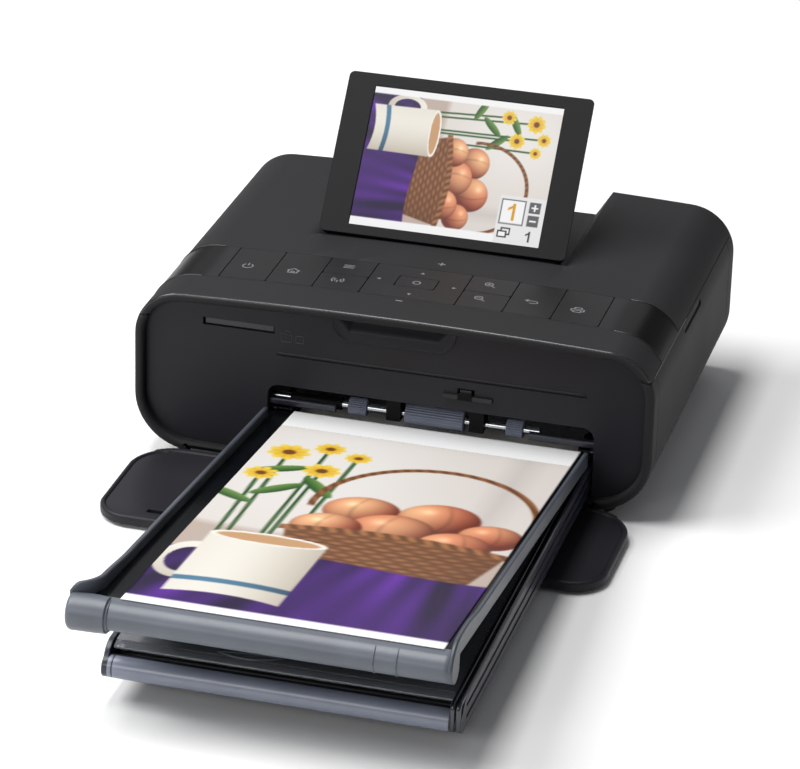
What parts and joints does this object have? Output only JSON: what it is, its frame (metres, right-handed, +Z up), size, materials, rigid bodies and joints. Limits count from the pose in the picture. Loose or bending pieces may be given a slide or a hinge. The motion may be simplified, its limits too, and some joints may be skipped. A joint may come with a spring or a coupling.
{
  "type": "photo printer",
  "caption": "Compact photo printer with a tilt-up screen, fold-down front door, slide-in paper cassette with a hinged lid, sprung keys and a side door over its ribbon cassette.",
  "frame": {"origin": "on the floor, under the middle of the whole part with its cassette in", "axes": "+X to the right, +Y to the back, +Z up; the print comes out towards -Y"},
  "size_m": [0.1806, 0.3192, 0.1104],
  "materials": {
    "body_shell": "fine matt grain",
    "front_panel": "satin",
    "gloss_strip": "gloss",
    "screen_housing": "satin",
    "display": "gloss, lit picture",
    "smoke_plastic": "gloss, smoky",
    "white_plastic": "natural acetal",
    "black_plastic": "matt",
    "rubber": "matt",
    "sheet_steel": "zinc plated",
    "pin_steel": "ground",
    "head_aluminium": "extruded",
    "brass": "turned",
    "ribbon_film": "gloss film",
    "circuit_board": "solder mask",
    "paper": "glossy photo paper"
  },
  "bodies": {
    "root": {"lower_case": "body_shell", "top_cover": "body_shell", "front_panel": "front_panel", "door_latch": "front_panel", "rear_cover": "body_shell", "ribbon_door_pins": "pin_steel", "front_door_pins": "pin_steel", "rubber_feet": "rubber", "case_screws": "pin_steel", "control_strip": "gloss_strip", "key_board": "circuit_board", "screen_hinge_pins": "pin_steel", "chassis": "sheet_steel", "roller_clips": "black_plastic", "guide_bars": "black_plastic", "print_head": "head_aluminium", "drive_motor": "pin_steel", "fan_frame": "black_plastic", "main_board": "circuit_board", "card_socket": "sheet_steel", "usb_port": "sheet_steel", "power_inlet": "black_plastic"},
    "ribbon_door": {"ribbon_door": "body_shell"},
    "front_door": {"front_door": "body_shell"},
    "screen_unit": {"screen_back_cover": "screen_housing", "screen_bezel": "screen_housing", "display": "display"},
    "cassette": {"cassette_tray": "smoke_plastic", "cassette_lid_pins": "pin_steel"},
    "lift_plate": {"lift_plate": "sheet_steel", "paper_stack": "paper"},
    "inner_lid": {"cassette_inner_lid": "smoke_plastic"},
    "outer_lid": {"cassette_lid": "smoke_plastic", "printed_sheet": "paper"},
    "pad_pivot": {"pad_pivot": "white_plastic"},
    "direction_pad": {"direction_pad": "gloss_strip"},
    "ribbon_cassette": {"ribbon_cassette": "white_plastic"},
    "supply_spool": {"supply_spool": "ribbon_film"},
    "takeup_spool": {"takeup_spool": "ribbon_film"},
    "exit_shaft": {"exit_shaft": "pin_steel", "exit_rollers": "rubber", "exit_gear": "white_plastic"},
    "platen": {"platen_shaft": "pin_steel", "platen_roller": "rubber", "platen_gear": "white_plastic"},
    "idler_gear": {"idler_gear": "white_plastic"},
    "motor_rotor": {"motor_shaft": "pin_steel", "motor_gear": "brass"},
    "fan_rotor": {"fan_rotor": "black_plastic"},
    "key_power": {"key_power": "gloss_strip"},
    "key_home": {"key_home": "gloss_strip"},
    "key_menu": {"key_menu": "gloss_strip"},
    "key_wireless": {"key_wireless": "gloss_strip"},
    "key_zoom_in": {"key_zoom_in": "gloss_strip"},
    "key_zoom_out": {"key_zoom_out": "gloss_strip"},
    "key_back": {"key_back": "gloss_strip"},
    "key_print": {"key_print": "gloss_strip"},
    "key_ok": {"key_ok": "gloss_strip"}
  },
  "joints": [
    {"name": "screen_tilt", "type": "hinge", "parent": "root", "child": "screen_unit", "pos_m": [0, 0.08925, 0.0576], "axis": [1, 0, 0], "range_deg": [-51, 0]},
    {"name": "front_door_fold", "type": "hinge", "parent": "root", "child": "front_door", "pos_m": [0, 0.02485, 0.0033], "axis": [-1, 0, 0], "range_deg": [0, 3]},
    {"name": "cassette_slide", "type": "slide", "parent": "root", "child": "cassette", "axis": [0, -1, 0], "range_m": [0, 0.205]},
    {"name": "outer_lid_swing", "type": "hinge", "parent": "cassette", "child": "outer_lid", "pos_m": [0, 0.03375, 0.01988], "axis": [1, 0, 0], "range_deg": [-8, 3.5]},
    {"name": "inner_lid_lift", "type": "hinge", "parent": "cassette", "child": "inner_lid", "pos_m": [0, 0.02475, 0.0176], "axis": [-1, 0, 0], "range_deg": [0, 2]},
    {"name": "lift_plate_rise", "type": "hinge", "parent": "cassette", "child": "lift_plate", "pos_m": [0, -0.13225, 0.0109], "axis": [1, 0, 0], "range_deg": [0, 0.5]},
    {"name": "ribbon_door_swing", "type": "hinge", "parent": "root", "child": "ribbon_door", "pos_m": [0.0828, 0.09175, 0.014], "axis": [0, 1, 0], "range_deg": [0, 75]},
    {"name": "pad_rock", "type": "hinge", "parent": "root", "child": "pad_pivot", "pos_m": [0, 0.05565, 0.0607], "axis": [1, 0, 0], "range_deg": [-1, 1], "stiffness_Nm_per_rad": 0.5},
    {"name": "pad_tip", "type": "hinge", "parent": "pad_pivot", "child": "direction_pad", "pos_m": [0, 0.05565, 0.0607], "axis": [0, 1, 0], "range_deg": [-1, 1], "stiffness_Nm_per_rad": 0.5},
    {"name": "ribbon_cassette_slide", "type": "slide", "parent": "root", "child": "ribbon_cassette", "axis": [1, 0, 0], "range_m": [0, 0.002]},
    {"name": "supply_spool_spin", "type": "hinge", "parent": "ribbon_cassette", "child": "supply_spool", "pos_m": [0, 0.10975, 0.0376], "axis": [1, 0, 0], "continuous": true},
    {"name": "takeup_spool_spin", "type": "hinge", "parent": "ribbon_cassette", "child": "takeup_spool", "pos_m": [0, 0.05975, 0.0376], "axis": [1, 0, 0], "continuous": true},
    {"name": "platen_spin", "type": "hinge", "parent": "root", "child": "platen", "pos_m": [0, 0.08475, 0.0205], "axis": [1, 0, 0], "continuous": true},
    {"name": "idler_spin", "type": "hinge", "parent": "root", "child": "idler_gear", "pos_m": [-0.0552, 0.05554, 0.02736], "axis": [1, 0, 0], "continuous": true},
    {"name": "exit_spin", "type": "hinge", "parent": "root", "child": "exit_shaft", "pos_m": [0, 0.03425, 0.0244], "axis": [1, 0, 0], "continuous": true},
    {"name": "motor_spin", "type": "hinge", "parent": "root", "child": "motor_rotor", "pos_m": [-0.0552, 0.09349, 0.03449], "axis": [1, 0, 0], "continuous": true},
    {"name": "fan_spin", "type": "hinge", "parent": "root", "child": "fan_rotor", "pos_m": [-0.066, 0.15275, 0.027], "axis": [0, 1, 0], "continuous": true},
    {"name": "key_power_press", "type": "slide", "parent": "root", "child": "key_power", "axis": [0, 0, -1], "range_m": [0, 0.00025], "stiffness_N_per_m": 2000},
    {"name": "key_home_press", "type": "slide", "parent": "root", "child": "key_home", "axis": [0, 0, -1], "range_m": [0, 0.00025], "stiffness_N_per_m": 2000},
    {"name": "key_menu_press", "type": "slide", "parent": "root", "child": "key_menu", "axis": [0, 0, -1], "range_m": [0, 0.00025], "stiffness_N_per_m": 2000},
    {"name": "key_wireless_press", "type": "slide", "parent": "root", "child": "key_wireless", "axis": [0, 0, -1], "range_m": [0, 0.00025], "stiffness_N_per_m": 2000},
    {"name": "key_zoom_in_press", "type": "slide", "parent": "root", "child": "key_zoom_in", "axis": [0, 0, -1], "range_m": [0, 0.00025], "stiffness_N_per_m": 2000},
    {"name": "key_zoom_out_press", "type": "slide", "parent": "root", "child": "key_zoom_out", "axis": [0, 0, -1], "range_m": [0, 0.00025], "stiffness_N_per_m": 2000},
    {"name": "key_back_press", "type": "slide", "parent": "root", "child": "key_back", "axis": [0, 0, -1], "range_m": [0, 0.00025], "stiffness_N_per_m": 2000},
    {"name": "key_print_press", "type": "slide", "parent": "root", "child": "key_print", "axis": [0, 0, -1], "range_m": [0, 0.00025], "stiffness_N_per_m": 2000},
    {"name": "key_ok_press", "type": "slide", "parent": "root", "child": "key_ok", "axis": [0, 0, -1], "range_m": [0, 0.00025], "stiffness_N_per_m": 2000}
  ],
  "couplings": [
    {"joint": "idler_spin", "follows": "platen_spin", "ratio": -0.71429},
    {"joint": "exit_spin", "follows": "platen_spin", "ratio": 3.125},
    {"joint": "motor_spin", "follows": "platen_spin", "ratio": -3.125}
  ]
}
